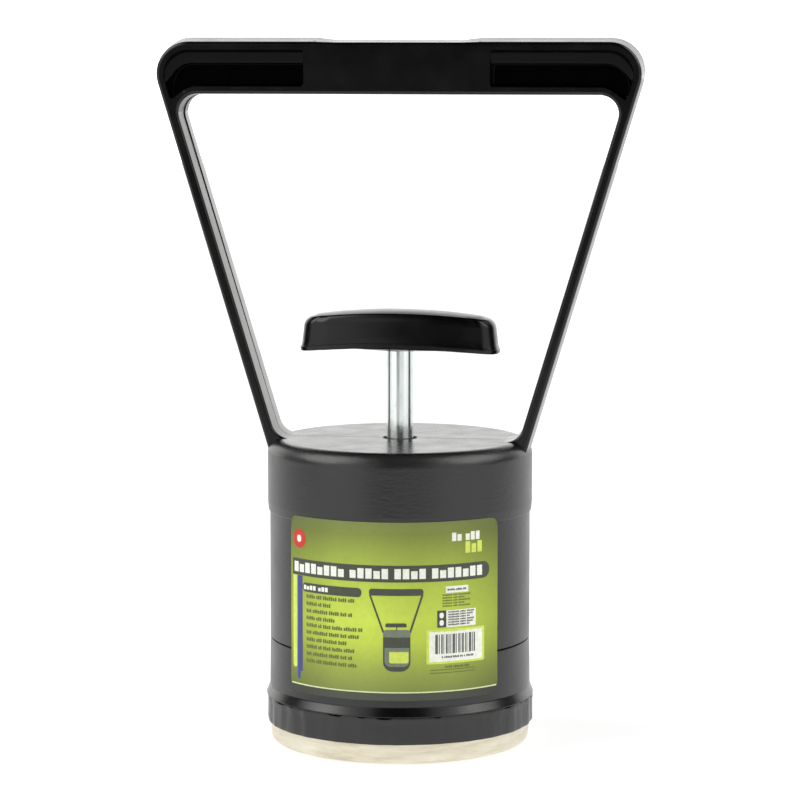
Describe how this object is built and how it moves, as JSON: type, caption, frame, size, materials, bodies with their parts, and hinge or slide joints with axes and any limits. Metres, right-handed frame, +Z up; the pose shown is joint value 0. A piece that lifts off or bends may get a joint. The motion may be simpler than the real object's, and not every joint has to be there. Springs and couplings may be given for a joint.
{
  "type": "hand-held magnetic pick-up tool",
  "caption": "Canister magnet with a fixed carrying handle; pulling the sprung T handle lifts the inner magnet off the steel base so that picked-up nails and chips drop off.",
  "frame": {"origin": "centre of the base cup's flat bottom face, on the canister's axis", "axes": "+Z up along the canister's axis; the carrying handle's bar runs along X; -Y is the side with the label"},
  "size_m": [0.1124, 0.0624, 0.163],
  "materials": {
    "housing_black": "satin moulded black plastic with a fine leather grain",
    "handle_black": "smooth satin black plastic",
    "band_vinyl": "glossy black vinyl band",
    "label_print": "satin printed film label, olive to lime green",
    "stainless": "bright drawn stainless steel",
    "zinc_plate": "bright zinc plate",
    "spring_steel": "oiled spring steel",
    "soft_iron": "dull nickel-plated steel",
    "ferrite": "ground grey-black ferrite",
    "brass": "turned brass",
    "nylon": "natural nylon"
  },
  "bodies": {
    "canister": {"handle_housing": "housing_black", "lower_sleeve": "housing_black", "base_cup": "stainless", "seal_band": "band_vinyl", "label": "label_print", "guide_bush": "nylon", "upper_washer": "zinc_plate"},
    "magnet_carriage": {"magnet_pot": "soft_iron", "ring_magnet": "ferrite", "centring_ring": "nylon", "pole_core": "soft_iron", "spring_seat": "zinc_plate", "return_spring": "spring_steel"},
    "pull_group": {"pull_rod": "zinc_plate", "pull_handle": "handle_black", "handle_insert": "brass", "stop_clip": "spring_steel", "rod_lock_nut": "zinc_plate", "flat_washer": "zinc_plate", "lock_washer": "spring_steel", "magnet_nut": "zinc_plate"}
  },
  "joints": [
    {"name": "magnet_lift", "type": "slide", "parent": "canister", "child": "magnet_carriage", "axis": [0, 0, 1], "range_m": [0, 0.0254], "stiffness_N_per_m": 1100, "springref_m": -0.008, "deforming": ["return_spring"]},
    {"name": "pull_turn", "type": "hinge", "parent": "magnet_carriage", "child": "pull_group", "pos_m": [0, 0, 0.0912], "axis": [0, 0, 1], "continuous": true}
  ]
}
